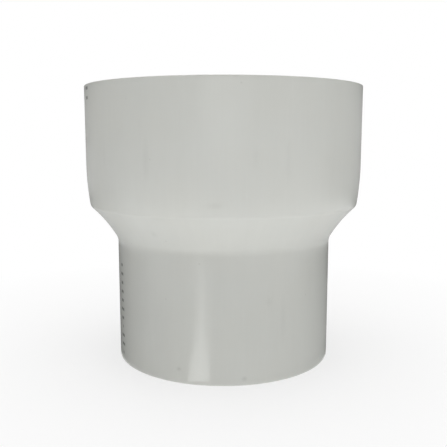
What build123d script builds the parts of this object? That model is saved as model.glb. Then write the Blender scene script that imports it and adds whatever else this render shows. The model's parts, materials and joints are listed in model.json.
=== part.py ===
from build123d import *
import os
from math import sqrt

# A pipe reducer, hot-formed in one piece from a length of rigid plastic pipe: the plain pipe end points
# down, and the other end is opened out over a mandrel into a wide socket.
# Millimetres, +Z up along the pipe's axis, with the origin at the centre of the lower cut end.

# Spigot, the plain pipe end that pushes into the next fitting
spigot_radius = 45.0
spigot_wall = 2.7
spigot_length = 50.5

# Flank, the hollow-sided cone that opens out from the spigot
flank_height = 14.0
flank_radius = 55.0
neck_radius = 6.0

# Shoulder, the rounded foot of the socket, which meets the flank in a firm crease
shoulder_height = 17.5
shoulder_radius = 117.0
crease_radius = 0.6

# Socket, the straight mouth that takes the wider pipe; its wall is thinner because it was stretched
socket_bore_radius = 55.2
socket_wall = 2.1
socket_length = 30.7

# Cut ends, deburred on both edges
rim_radius = 0.4

# Heights of the section's corners, counted up from the spigot's cut end
neck_z = spigot_length
crease_z = neck_z + flank_height
socket_z = crease_z + shoulder_height
mouth_z = socket_z + socket_length

# Radii of the section's corners
spigot_bore_radius = spigot_radius - spigot_wall
socket_radius = socket_bore_radius + socket_wall
shoulder_inset = shoulder_radius - sqrt(shoulder_radius**2 - shoulder_height**2)
crease_outer_radius = crease_radius + socket_wall
neck_inner_radius = neck_radius + spigot_wall

# Corners of the wall's outside
neck = Vector(spigot_radius, neck_z)
crease = Vector(socket_radius - shoulder_inset, crease_z)
shoulder_top = Vector(socket_radius, socket_z)

# Outside of the wall, from the spigot's end up to the mouth; the shoulder runs smoothly into the socket
spigot_outside = Line((spigot_radius, 0), neck)
flank_outside = RadiusArc(neck, crease, flank_radius)
shoulder_outside = RadiusArc(crease, shoulder_top, -shoulder_radius)
socket_outside = Line(shoulder_top, (socket_radius, mouth_z))


def corner_inside(lower, upper, wall):
    """Point that lies one wall thickness inside the corner where two outside edges meet."""
    from_lower = (lower % 1).rotate(Axis.Z, 90)
    from_upper = (upper % 0).rotate(Axis.Z, 90)
    return lower @ 1 + (from_lower + from_upper) * (wall / (1 + from_lower.dot(from_upper)))


# Inside of the wall, which thins along the flank from the spigot's wall to the socket's
neck_inside = corner_inside(spigot_outside, flank_outside, spigot_wall)
crease_inside = corner_inside(flank_outside, shoulder_outside, socket_wall)
socket_bore_foot = Vector(socket_bore_radius, socket_z)
flank_wall = (spigot_wall + socket_wall) / 2
spigot_inside = Line((spigot_bore_radius, 0), neck_inside)
flank_inside = RadiusArc(neck_inside, crease_inside, flank_radius + flank_wall)
shoulder_inside = TangentArc(socket_bore_foot, crease_inside, tangent=(0, -1))
socket_inside = Line(socket_bore_foot, (socket_bore_radius, mouth_z))

# Cut faces that close the section at both ends
spigot_end = Line(spigot_inside @ 0, spigot_outside @ 0)
mouth_end = Line(socket_inside @ 1, socket_outside @ 1)

section = make_face(
    [
        spigot_outside,
        flank_outside,
        shoulder_outside,
        socket_outside,
        mouth_end,
        socket_inside,
        shoulder_inside,
        flank_inside,
        spigot_inside,
        spigot_end,
    ]
)


def rounded(face, corner, radius):
    """The face with its vertex at the given corner rounded."""
    return fillet(face.vertices().sort_by_distance(corner)[0], radius)


section = rounded(section, neck, neck_radius)
section = rounded(section, neck_inside, neck_inner_radius)
section = rounded(section, crease, crease_outer_radius)
section = rounded(section, crease_inside, crease_radius)
for rim_corner in (spigot_end @ 0, spigot_end @ 1, mouth_end @ 0, mouth_end @ 1):
    section = rounded(section, rim_corner, rim_radius)

# The section turned about the pipe's axis makes the whole reducer
reducer = revolve(Plane.XZ * section, axis=Axis.Z)

os.makedirs("parts", exist_ok=True)
export_step(reducer, "parts/reducer.step")
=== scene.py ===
import json
import math
import bmesh
import bpy
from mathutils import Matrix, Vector
from mathutils.geometry import intersect_line_sphere_2d, intersect_sphere_sphere_2d


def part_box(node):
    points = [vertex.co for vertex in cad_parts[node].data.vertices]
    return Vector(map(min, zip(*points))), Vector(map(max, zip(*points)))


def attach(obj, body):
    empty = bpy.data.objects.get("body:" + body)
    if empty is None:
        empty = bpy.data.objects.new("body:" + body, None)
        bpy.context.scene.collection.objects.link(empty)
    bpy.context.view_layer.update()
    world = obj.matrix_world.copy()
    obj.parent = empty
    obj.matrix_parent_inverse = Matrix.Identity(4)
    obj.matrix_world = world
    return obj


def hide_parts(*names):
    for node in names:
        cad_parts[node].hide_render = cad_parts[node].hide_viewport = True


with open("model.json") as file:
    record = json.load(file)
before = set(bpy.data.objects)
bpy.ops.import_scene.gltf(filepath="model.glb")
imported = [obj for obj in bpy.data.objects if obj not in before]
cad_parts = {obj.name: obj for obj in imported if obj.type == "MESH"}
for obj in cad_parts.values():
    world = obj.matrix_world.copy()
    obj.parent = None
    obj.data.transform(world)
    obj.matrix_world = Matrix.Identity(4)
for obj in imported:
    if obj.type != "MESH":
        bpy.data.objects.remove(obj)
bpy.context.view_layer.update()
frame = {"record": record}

# The reducer is one length of grey rigid PVC pipe. The lower end is left plain as the spigot, and the
# upper end was heated and opened out over a mandrel, which left the hollow flank, the firm crease, the
# rounded shoulder and the thinner wall of the socket. Both ends are sawn square and deburred.
mounts = {mount["name"]: mount for mount in frame["record"]["mounts"]}
lowest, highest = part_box("reducer")
hair = 0.000001  # keeps the mesh just inside the CAD box
spigot_radius = mounts["spigot"]["dims"]["r_mm"] / 1000
spigot_wall = 0.0027
spigot_length = 0.0505
neck_radius = 0.006
flank_height = 0.014
flank_radius = 0.055
shoulder_height = 0.0175
shoulder_radius = 0.117
socket_radius = highest[0] - hair
socket_wall = socket_radius - mounts["socket_bore"]["dims"]["r_mm"] / 1000
crease_bore_radius = 0.0006
crease_radius = crease_bore_radius + socket_wall
mouth_z = highest[2] - hair
rim_radius = 0.0004
merge_distance = rim_radius / 100
spigot_steps = 24
neck_steps = 6
flank_steps = 12
crease_steps = 8
shoulder_steps = 12
socket_steps = 16
rim_steps = 4
facets_round = 240
square_angle = math.radians(80)

# Corners of the section, as distance from the axis and height, and the centres of its round stretches
crease_z = spigot_length + flank_height
socket_z = crease_z + shoulder_height
neck = Vector((spigot_radius, spigot_length))
shoulder_centre = Vector((socket_radius - shoulder_radius, socket_z))
crease = shoulder_centre + Vector((math.sqrt(shoulder_radius**2 - shoulder_height**2), -shoulder_height))
flank_centre = max(
    intersect_sphere_sphere_2d(neck, flank_radius, crease, flank_radius),
    key=lambda centre: centre.x,
)
neck_centre = max(
    intersect_line_sphere_2d(
        Vector((spigot_radius + neck_radius, 0)),
        Vector((spigot_radius + neck_radius, mouth_z)),
        flank_centre,
        flank_radius - neck_radius,
        False,
    ),
    key=lambda centre: centre.y,
)
crease_centre = min(
    intersect_sphere_sphere_2d(
        flank_centre, flank_radius + crease_radius, shoulder_centre, shoulder_radius - crease_radius
    ),
    key=lambda centre: (centre - crease).length,
)


def touch(centre, other, radius):
    """Point on the arc about one centre where the arc about the other centre runs into it."""
    return centre + (other - centre).normalized() * radius


def only_verts(geometry):
    """The vertices among what an operator made."""
    return [item for item in geometry if isinstance(item, bmesh.types.BMVert)]


def run_up(mesh, start, height, steps):
    """Carries the section straight up to a height, and gives its new end."""
    rise = (height - start.co.z) / steps
    for step in range(steps):
        start = bmesh.ops.extrude_vert_indiv(mesh, verts=[start])["verts"][0]
        start.co.z += rise
    return start


def run_round(mesh, start, centre, stop, steps):
    """Carries the section along an arc about a centre as far as a point, and gives its new end."""
    turned = bmesh.ops.spin(
        mesh,
        geom=[start],
        cent=(centre.x, 0, centre.y),
        axis=(0, 1, 0),
        angle=(start.co.xz - centre).angle_signed(stop - centre),
        steps=steps,
    )
    return only_verts(turned["geom_last"])[0]


def wall_at(height):
    """Thickness of the wall behind a height on its outside: it thins along the flank."""
    share = (height - spigot_length) / flank_height
    return spigot_wall + (socket_wall - spigot_wall) * min(max(share, 0), 1)


def finish_mesh(mesh, name):
    """Makes an object from a finished mesh and puts it into the scene."""
    made = bpy.data.objects.new(name, bpy.data.meshes.new(name))
    mesh.to_mesh(made.data)
    mesh.free()
    bpy.context.collection.objects.link(made)
    return made


# The outside is drawn once as a section and turned round the axis
mesh = bmesh.new()
outside_share = mesh.verts.layers.float.new("outside")
tip = mesh.verts.new((spigot_radius, 0, lowest[2]))
tip = run_up(mesh, tip, neck_centre.y, spigot_steps)
tip = run_round(mesh, tip, neck_centre, touch(flank_centre, neck_centre, flank_radius), neck_steps)
tip = run_round(mesh, tip, flank_centre, touch(flank_centre, crease_centre, flank_radius), flank_steps)
crease_end = touch(shoulder_centre, crease_centre, shoulder_radius)
tip = run_round(mesh, tip, crease_centre, crease_end, crease_steps)
tip = run_round(mesh, tip, shoulder_centre, Vector((socket_radius, socket_z)), shoulder_steps)
tip = run_up(mesh, tip, mouth_z, socket_steps)
bmesh.ops.spin(
    mesh,
    geom=mesh.verts[:] + mesh.edges[:],
    cent=(0, 0, 0),
    axis=(0, 0, 1),
    angle=math.tau,
    steps=facets_round,
    use_merge=True,
)
bmesh.ops.remove_doubles(mesh, verts=mesh.verts[:], dist=merge_distance)
bmesh.ops.recalc_face_normals(mesh, faces=mesh.faces[:])
mesh.normal_update()
for vert in mesh.verts:
    vert[outside_share] = 1

# The bore is a copy of the outside, sunk by the wall's thickness, and the sawn ends close the two skins
bore = bmesh.ops.duplicate(mesh, geom=mesh.verts[:] + mesh.edges[:] + mesh.faces[:])["geom"]
mesh.normal_update()
for vert in only_verts(bore):
    vert.co -= vert.normal * wall_at(vert.co.z)
    vert[outside_share] = 0
bmesh.ops.reverse_faces(mesh, faces=[item for item in bore if isinstance(item, bmesh.types.BMFace)])
open_edges = [edge for edge in mesh.edges if edge.is_boundary]
for end_z in (lowest[2], mouth_z):
    end_edges = [edge for edge in open_edges if abs(edge.verts[0].co.z - end_z) < rim_radius]
    bmesh.ops.bridge_loops(mesh, edges=end_edges)
mesh.normal_update()
square_edges = [edge for edge in mesh.edges if edge.calc_face_angle() > square_angle]
bmesh.ops.bevel(
    mesh,
    geom=square_edges,
    offset=rim_radius,
    affect="EDGES",
    segments=rim_steps,
    profile=0.5,
    material=-1,
)
for face in mesh.faces:
    face.smooth = True
reducer = finish_mesh(mesh, "reducer_pipe")

# The PVC is a pale warm grey with the satin of extruded pipe: the die left faint lines along its length,
# broad ones in its gloss and fine ones in its surface, and the colour is slightly cloudy.
warm_grey = (0.591, 0.596, 0.558, 1)
cool_grey = (0.581, 0.592, 0.566, 1)
base_shade = 0.955
specular_level = 0.5
smoothest = 0.21
roughest = 0.27
line_depth = 0.000005
along_z = (0, 0, 1)
across_z = (1, 1, 0)
broad_line_climb = (4, 4, 4)
broad_line_pattern = {"scale": 9, "detail": 3}
broad_line_gain = 0.040
fine_line_climb = (0.6, 0.6, 0.6)
fine_line_pattern = {"scale": 70, "detail": 2}
fine_line_gain = 0.020
cloud_pattern = {"scale": 45, "detail": 4}
cloud_gain = 0.030


def add_node(tree, kind, inputs=None, **settings):
    """Adds a node, sets its properties, and fills its inputs with values or with other nodes' outputs."""
    node = tree.nodes.new("ShaderNode" + kind)
    for name, value in settings.items():
        setattr(node, name, value)
    for key, value in (inputs or {}).items():
        if isinstance(value, bpy.types.NodeSocket):
            tree.links.new(value, node.inputs[key])
        else:
            node.inputs[key].default_value = value
    return node


def number(tree, operation, *values, clamp=False):
    """Result of a sum on numbers, which may be other nodes' outputs."""
    return add_node(tree, "Math", dict(enumerate(values)), operation=operation, use_clamp=clamp).outputs[0]


def vector(tree, operation, *values):
    """Result of a sum on vectors, which may be other nodes' outputs."""
    return add_node(tree, "VectorMath", dict(enumerate(values)), operation=operation).outputs[0]


def noise(tree, run, scale, detail):
    """Strength of a noise pattern, about 0.5 on average."""
    return add_node(tree, "TexNoise", {"Vector": run, "Scale": scale, "Detail": detail}).outputs["Fac"]


def ramp(tree, value, start, stop, low=0, high=1):
    """A number that goes from low to high as the value goes from start to stop."""
    ends = {"Value": value, "From Min": start, "From Max": stop, "To Min": low, "To Max": high}
    return add_node(tree, "MapRange", ends).outputs[0]


def colour_mix(tree, share, first, second):
    """A mix of two colours, which may be other nodes' outputs."""
    return add_node(tree, "Mix", {0: share, 6: first, 7: second}, data_type="RGBA").outputs[2]


pvc = bpy.data.materials.new("grey_pvc")
pvc.use_nodes = True
tree = pvc.node_tree
shader = tree.nodes["Principled BSDF"]
shader.inputs["Specular IOR Level"].default_value = specular_level
place = add_node(tree, "TexCoord").outputs["Object"]
axes = add_node(tree, "SeparateXYZ", {0: place}).outputs
outside = add_node(tree, "Attribute", attribute_name="outside").outputs["Fac"]
around = vector(tree, "NORMALIZE", vector(tree, "MULTIPLY", place, across_z))
climb = vector(tree, "MULTIPLY", place, along_z)
broad_run = vector(tree, "MULTIPLY_ADD", climb, broad_line_climb, around)
fine_run = vector(tree, "MULTIPLY_ADD", climb, fine_line_climb, around)
broad_lines = noise(tree, broad_run, **broad_line_pattern)
fine_lines = noise(tree, fine_run, **fine_line_pattern)
clouds = noise(tree, place, **cloud_pattern)
shade = number(tree, "MULTIPLY_ADD", broad_lines, broad_line_gain, base_shade)
shade = number(tree, "MULTIPLY_ADD", fine_lines, fine_line_gain, shade)
shade = number(tree, "MULTIPLY_ADD", clouds, cloud_gain, shade)

# Above the crease, where the wall was bent and stretched most, a paler band is painted into the colour: a
# painted highlight for the light the shoulder catches there from below
crease_highlight_gain = 0.105
crease_highlight_reach = 0.018
crease_highlight_edge = 0.0013
crease_highlight_power = 2
rising = ramp(tree, axes["Z"], crease_z - crease_highlight_edge / 2, crease_z + crease_highlight_edge)
falling = ramp(tree, axes["Z"], crease_z + crease_highlight_reach, crease_z)
crease_highlight = number(tree, "MULTIPLY", rising, number(tree, "POWER", falling, crease_highlight_power))
shade = number(tree, "MULTIPLY_ADD", crease_highlight, crease_highlight_gain, shade)

# Specks lie here and there in the plastic, and handling rubbed soft oval spots and short lines into it
speck_scale = 90
speck_core = 0.020
speck_edge = 0.045
speck_darkening = 0.10
rub_pattern = {"scale": 900, "detail": 3}
rub_base = 0.5
rubbed_spots = (
    # name, degrees round from the front towards +X, height, half width, half height, darkening
    ("shoulder smudge", -3, 0.0690, 0.0040, 0.0014, 0.060),
    ("socket line far left", -50, 0.0850, 0.0012, 0.0080, 0.030),
    ("socket line left", -28, 0.0845, 0.0018, 0.0090, 0.055),
    ("socket dot", 11, 0.0855, 0.0016, 0.0045, 0.035),
    ("socket line right", 23, 0.0845, 0.0018, 0.0090, 0.032),
    ("flank dot", -31, 0.0570, 0.0020, 0.0020, 0.060),
    ("spigot speck left", -22, 0.0056, 0.0014, 0.0011, 0.150),
    ("spigot speck right", 10, 0.0027, 0.0014, 0.0013, 0.150),
    ("spigot dot", 22, 0.0316, 0.0020, 0.0020, 0.040),
    ("spigot smear", 30, 0.0245, 0.0018, 0.0110, 0.040),
)


def outside_radius(height):
    """Distance from the axis to the wall's outside at a height."""
    if height < spigot_length:
        return spigot_radius
    if height < crease_z:
        return flank_centre.x - math.sqrt(flank_radius**2 - (height - flank_centre.y) ** 2)
    if height < socket_z:
        return shoulder_centre.x + math.sqrt(shoulder_radius**2 - (height - socket_z) ** 2)
    return socket_radius


def heading(turn, rise=0):
    """Direction that points round from the front towards +X by one angle, and up by another."""
    return Vector((math.sin(turn) * math.cos(rise), -math.cos(turn) * math.cos(rise), math.sin(rise)))


from_speck = add_node(tree, "TexVoronoi", {"Vector": place, "Scale": speck_scale}).outputs["Distance"]
darkness = number(tree, "MULTIPLY", ramp(tree, from_speck, speck_edge, speck_core), speck_darkening)
for spot_name, degrees, height, half_width, half_height, darkening in rubbed_spots:
    on_wall = heading(math.radians(degrees)) * outside_radius(height) + Vector((0, 0, height))
    oval = add_node(
        tree,
        "Mapping",
        {"Vector": place, "Location": on_wall, "Scale": (half_width, half_width, half_height)},
        vector_type="TEXTURE",
        label=spot_name,
    )
    fade = add_node(tree, "TexGradient", {"Vector": oval.outputs[0]}, gradient_type="SPHERICAL")
    darkness = number(tree, "MULTIPLY_ADD", fade.outputs["Fac"], darkening, darkness)
rubbing = number(tree, "ADD", noise(tree, place, **rub_pattern), rub_base)
darkness = number(tree, "MULTIPLY", darkness, rubbing)
shade = number(tree, "SUBTRACT", shade, number(tree, "MULTIPLY", darkness, outside))

# The sawn ends are flat rings, paler and rougher than the rest, with fine saw lines across them
sawn_gain = 0.05
sawn_roughness = 0.3
saw_line_pattern = {"Scale": 350, "Distortion": 3, "Detail": 3}
saw_line_gain = 0.04
saw_line_depth = 4
mouth_cut = number(tree, "GREATER_THAN", axes["Z"], mouth_z - rim_radius / 2)
spigot_cut = number(tree, "LESS_THAN", axes["Z"], lowest[2] + rim_radius / 2)
sawn = number(tree, "MAXIMUM", mouth_cut, spigot_cut)
saw_lines = add_node(tree, "TexWave", {"Vector": place, **saw_line_pattern}).outputs["Fac"]
saw_marks = number(tree, "MULTIPLY", saw_lines, sawn)
shade = number(tree, "MULTIPLY_ADD", sawn, sawn_gain, shade)
shade = number(tree, "MULTIPLY_ADD", saw_marks, saw_line_gain, shade)

# Plain ink ticks of different lengths run up the outside at the left, on the spigot and near the mouth
ink_grey = (0.10, 0.11, 0.10, 1)
ink_turn = math.radians(-67)
ink_pitch = 0.0037
ink_shortest = 0.0006
ink_spread = 0.0018
ink_half_thickness = 0.0008
ink_edge = 0.0004
ink_cover = 0.65
ink_rows = ((0.003, 0.042), (0.105, 0.112))
turn = number(tree, "ARCTAN2", axes["X"], number(tree, "MULTIPLY", axes["Y"], -1))
turn_away = number(tree, "ABSOLUTE", number(tree, "SUBTRACT", turn, ink_turn))
aside = number(tree, "MULTIPLY", turn_away, spigot_radius)
tick_number = number(tree, "ROUND", number(tree, "DIVIDE", axes["Z"], ink_pitch))
tick_share = add_node(tree, "TexWhiteNoise", {"W": tick_number}, noise_dimensions="1D").outputs["Value"]
half_length = number(tree, "MULTIPLY_ADD", tick_share, ink_spread, ink_shortest)
within_length = number(tree, "SUBTRACT", half_length, aside)
from_tick = number(tree, "PINGPONG", axes["Z"], ink_pitch / 2)
within_thickness = number(tree, "SUBTRACT", ink_half_thickness, from_tick)
within_tick = number(tree, "MINIMUM", within_length, within_thickness)
in_rows = 0.0
for row_low, row_high in ink_rows:
    in_row = number(tree, "COMPARE", axes["Z"], (row_low + row_high) / 2, (row_high - row_low) / 2)
    in_rows = number(tree, "ADD", in_row, in_rows)
ink = number(tree, "DIVIDE", within_tick, ink_edge, clamp=True)
ink = number(tree, "MULTIPLY", number(tree, "MULTIPLY", ink, in_rows), outside)
ink = number(tree, "MULTIPLY", ink, ink_cover)

# Colour, gloss and relief come together in the one material of the reducer
grey = colour_mix(tree, clouds, warm_grey, cool_grey)
plastic = add_node(tree, "VectorMath", {0: grey, "Scale": shade}, operation="SCALE").outputs[0]
tree.links.new(colour_mix(tree, ink, plastic, ink_grey), shader.inputs["Base Color"])
satin = ramp(tree, broad_lines, 0, 1, smoothest, roughest)
tree.links.new(number(tree, "MULTIPLY_ADD", sawn, sawn_roughness, satin), shader.inputs["Roughness"])
relief = number(tree, "MULTIPLY_ADD", saw_marks, saw_line_depth, fine_lines)
bump = add_node(tree, "Bump", {"Height": relief, "Strength": 1, "Distance": line_depth})
tree.links.new(bump.outputs[0], shader.inputs["Normal"])
reducer.data.materials.append(pvc)
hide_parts("reducer")
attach(reducer, "root")

# The floor is a plain white sheet that the reducer stands on. The camera sees it as white, and near the
# reducer a part of its own shading stays, which keeps the shadow.
floor_half_size = 3.0
floor_drop = 0.0001
floor_white = (0.9, 0.9, 0.9, 1)
shadow_reach = 0.20
shadow_share = 0.35
pure_white = (1, 1, 1, 1)
mesh = bmesh.new()
bmesh.ops.create_grid(mesh, x_segments=1, y_segments=1, size=floor_half_size)
bmesh.ops.translate(mesh, verts=mesh.verts[:], vec=(0, 0, lowest[2] - floor_drop))
floor = finish_mesh(mesh, "floor")


def as_seen(tree):
    """1 for what the camera sees, straight or in gloss or glass, and 0 for light that falls on things."""
    path = add_node(tree, "LightPath").outputs
    mirrored = number(tree, "MAXIMUM", path["Is Glossy Ray"], path["Is Transmission Ray"])
    return number(tree, "MAXIMUM", path["Is Camera Ray"], mirrored)


sheet = bpy.data.materials.new("white_sheet")
sheet.use_nodes = True
tree = sheet.node_tree
tree.nodes.clear()
place = add_node(tree, "TexCoord").outputs["Object"]
near = add_node(tree, "Mapping", {0: place, "Scale": (shadow_reach,) * 3}, vector_type="TEXTURE")
nearness = add_node(tree, "TexGradient", {0: near.outputs[0]}, gradient_type="SPHERICAL").outputs["Fac"]
whiteness = number(tree, "MULTIPLY_ADD", nearness, -shadow_share, 1)
matt = add_node(tree, "BsdfDiffuse", {"Color": floor_white})
white = add_node(tree, "Emission", {"Color": pure_white, "Strength": 1})
blend = number(tree, "MULTIPLY", whiteness, as_seen(tree))
sheet_mix = add_node(tree, "MixShader", {0: blend, 1: matt.outputs[0], 2: white.outputs[0]})
add_node(tree, "OutputMaterial", {"Surface": sheet_mix.outputs[0]})
floor.data.materials.append(sheet)

# Grey cloth screens lie on the floor near the reducer, stand round it and hang under its flank. Only its
# gloss sees them: they keep its edges dark, and give its front a paler grey to reflect.
screen_facets = 72
cloth_lift = 0.0005
screen_foot = spigot_radius + cloth_lift
screen_near = 0.16
screen_split = 0.22
screen_middle = 0.28
screen_far = 0.40
wall_foot = 0.08
split_z = wall_foot / 4
middle_z = wall_foot / 2
wall_middle = 0.13
wall_top = 0.90
collar_z = 0.047
collar_near = 0.0475
collar_far = 0.090
right_collar_far = 0.135
full_turn = 360
screens = (
    # name, grey, first and last degrees round from the front, first and last radius and height
    ("near_screen", 0.03, 170, 420, (screen_foot, cloth_lift), (screen_near, cloth_lift)),
    ("right_near_screen", 0.20, 60, 170, (screen_foot, cloth_lift), (screen_near, cloth_lift)),
    ("front_screen", 0.60, -75, 75, (screen_near, cloth_lift), (screen_far, cloth_lift)),
    ("low_screen", 0.06, 75, 285, (screen_near, cloth_lift), (screen_split, split_z)),
    ("right_low_screen", 0.06, 75, 200, (screen_split, split_z), (screen_middle, middle_z)),
    ("left_low_screen", 0.20, 200, 285, (screen_split, split_z), (screen_middle, middle_z)),
    ("side_screen", 0.34, 75, 215, (screen_middle, middle_z), (screen_far, wall_foot)),
    ("left_side_screen", 0.50, 215, 285, (screen_middle, middle_z), (screen_far, wall_foot)),
    ("wall_screen", 0.34, 0, full_turn, (screen_far, wall_foot), (screen_far, wall_middle)),
    ("upper_screen", 0.12, 0, full_turn, (screen_far, wall_middle), (screen_far, wall_top)),
    ("collar_screen", 0.53, -60, 180, (collar_near, collar_z), (collar_far, collar_z)),
    ("left_collar_screen", 0.40, 180, 300, (collar_near, collar_z), (collar_far, collar_z)),
    ("right_collar_screen", 0.95, 60, 115, (collar_far, collar_z), (right_collar_far, collar_z)),
)


def show_in_gloss_only(thing, radiance):
    """Gives a stage piece an even glow that nothing but gloss sees."""
    glow = bpy.data.materials.new(thing.name)
    glow.use_nodes = True
    glow.cycles.emission_sampling = "NONE"
    glow.node_tree.nodes.clear()
    even = add_node(glow.node_tree, "Emission", {"Color": pure_white, "Strength": radiance})
    add_node(glow.node_tree, "OutputMaterial", {"Surface": even.outputs[0]})
    thing.data.materials.append(glow)
    thing.visible_camera = False
    thing.visible_diffuse = False
    thing.visible_transmission = False
    thing.visible_shadow = False


for name, cloth_grey, from_degrees, to_degrees, (first_radius, first_z), (last_radius, last_z) in screens:
    mesh = bmesh.new()
    start = heading(math.radians(from_degrees))
    first = mesh.verts.new(start * first_radius + Vector((0, 0, first_z)))
    last = bmesh.ops.extrude_vert_indiv(mesh, verts=[first])["verts"][0]
    last.co = start * last_radius + Vector((0, 0, last_z))
    bmesh.ops.spin(
        mesh,
        geom=mesh.verts[:] + mesh.edges[:],
        cent=(0, 0, 0),
        axis=(0, 0, 1),
        angle=math.radians(to_degrees - from_degrees),
        steps=screen_facets,
        use_merge=to_degrees - from_degrees == full_turn,
    )
    show_in_gloss_only(finish_mesh(mesh, name), cloth_grey)

# A slim bright strip lies on the floor at the front left, and shows as the pale streak down the spigot.
# Low grey fins stand along both its edges, and hide it from gloss that looks across it.
strip_radiance = 2.9
strip_z = 0.001
fin_height = 0.007
fin_grey = 0.15
strip_foot_turn = math.radians(-12)
strip_turn = math.radians(-22.5)
strip_foot = heading(strip_foot_turn) * spigot_radius + Vector((0, 0, strip_z))
strip_along = heading(strip_turn)
strip_across = heading(strip_turn + math.pi / 2)
strip_stations = (
    # distance out from its foot, half width
    (0.001, 0.0045),
    (0.012, 0.0065),
    (0.030, 0.0075),
    (0.060, 0.0065),
    (0.120, 0.0075),
    (0.200, 0.0130),
    (0.260, 0.0030),
)


def draw_strip_edges(mesh):
    """Draws both long edges of the strip."""
    for side in (-1, 1):
        corners = []
        for way_out, half_width in strip_stations:
            corner = strip_foot + strip_along * way_out + strip_across * side * half_width
            corners.append(mesh.verts.new(corner))
        for ends in zip(corners, corners[1:]):
            mesh.edges.new(ends)


mesh = bmesh.new()
draw_strip_edges(mesh)
bmesh.ops.bridge_loops(mesh, edges=mesh.edges[:])
show_in_gloss_only(finish_mesh(mesh, "gleam_strip"), strip_radiance)
mesh = bmesh.new()
draw_strip_edges(mesh)
raised = bmesh.ops.extrude_edge_only(mesh, edges=mesh.edges[:])["geom"]
bmesh.ops.translate(mesh, verts=only_verts(raised), vec=(0, 0, fin_height))
show_in_gloss_only(finish_mesh(mesh, "strip_fins"), fin_grey)

# The room is white all round as the camera and the gloss see it, and gives the reducer a weak even light
# from every side.
room_light = 0.06
room = bpy.data.worlds.new("white_room")
bpy.context.scene.world = room
room.use_nodes = True
tree = room.node_tree
background = tree.nodes["Background"]
background.inputs["Color"].default_value = pure_white
room_level = number(tree, "MULTIPLY_ADD", as_seen(tree), 1 - room_light, room_light)
tree.links.new(room_level, background.inputs["Strength"])

# Soft boxes hang overhead and stand in front, at the right and behind, and light panels lie on the floor
# all round, so most of the light on its wall comes level or from below. Neither the camera nor the gloss
# sees them.
soft_boxes = (
    # name, degrees round from the front, degrees up, distance, width, height, watts
    ("overhead_box", 0, 88, 0.80, 0.70, 0.70, 6.0),
    ("front_box", 0, 8, 0.80, 0.50, 0.20, 1.30),
    ("right_box", 45, 8, 0.80, 0.50, 0.20, 0.48),
    ("back_box", 180, 8, 0.80, 0.90, 0.20, 1.5),
)
floor_panels = (
    # name, x and y of its middle, width, depth, watts
    ("front_panel", 0, -0.40, 0.60, 0.40, 0.32),
    ("left_panel", -0.30, -0.15, 0.30, 0.50, 0.76),
    ("right_panel", 0.30, -0.15, 0.30, 0.50, 0.65),
    ("near_panel", 0, -0.13, 0.16, 0.14, 0.025),
    ("back_panel", 0, 0.40, 0.90, 0.40, 0.75),
    ("near_back_panel", 0, 0.13, 0.16, 0.14, 0.024),
    ("foot_panel", 0, 0, 0.125, 0.125, 0.0285),
)
panel_z = lowest[2] - floor_drop / 2
face_up = (math.pi, 0, 0)


def add_lamp(name, middle, turned, width, height, watts):
    """Adds a flat lamp that neither the camera nor the gloss sees."""
    lamp = bpy.data.lights.new(name, "AREA")
    lamp.shape = "RECTANGLE"
    lamp.size = width
    lamp.size_y = height
    lamp.energy = watts
    lamp_object = bpy.data.objects.new(name, lamp)
    lamp_object.location = middle
    lamp_object.rotation_euler = turned
    lamp_object.visible_camera = False
    lamp_object.visible_glossy = False
    bpy.context.collection.objects.link(lamp_object)


target = Vector((0, 0, mouth_z / 2))
for name, degrees, degrees_up, distance, width, height, watts in soft_boxes:
    to_lamp = heading(math.radians(degrees), math.radians(degrees_up))
    turned = to_lamp.to_track_quat("Z", "Y").to_euler()
    add_lamp(name, target + to_lamp * distance, turned, width, height, watts)
for name, middle_x, middle_y, width, depth, watts in floor_panels:
    add_lamp(name, (middle_x, middle_y, panel_z), face_up, width, depth, watts)

# The camera stands close in front, just below the height of the socket's mouth, and looks slightly down
# at the reducer through a normal lens.
camera_distance = 0.266
camera_height = 0.0921
camera_pitch = math.radians(7.89)
camera_sensor = 36
camera_lens = 49.93
camera = bpy.data.objects.new("camera", bpy.data.cameras.new("camera"))
camera.data.sensor_width = camera_sensor
camera.data.lens = camera_lens
camera.location = (0, -camera_distance, camera_height)
camera.rotation_euler = (math.pi / 2 - camera_pitch, 0, 0)
bpy.context.collection.objects.link(camera)
bpy.context.scene.camera = camera
bpy.context.scene.view_settings.view_transform = "Standard"
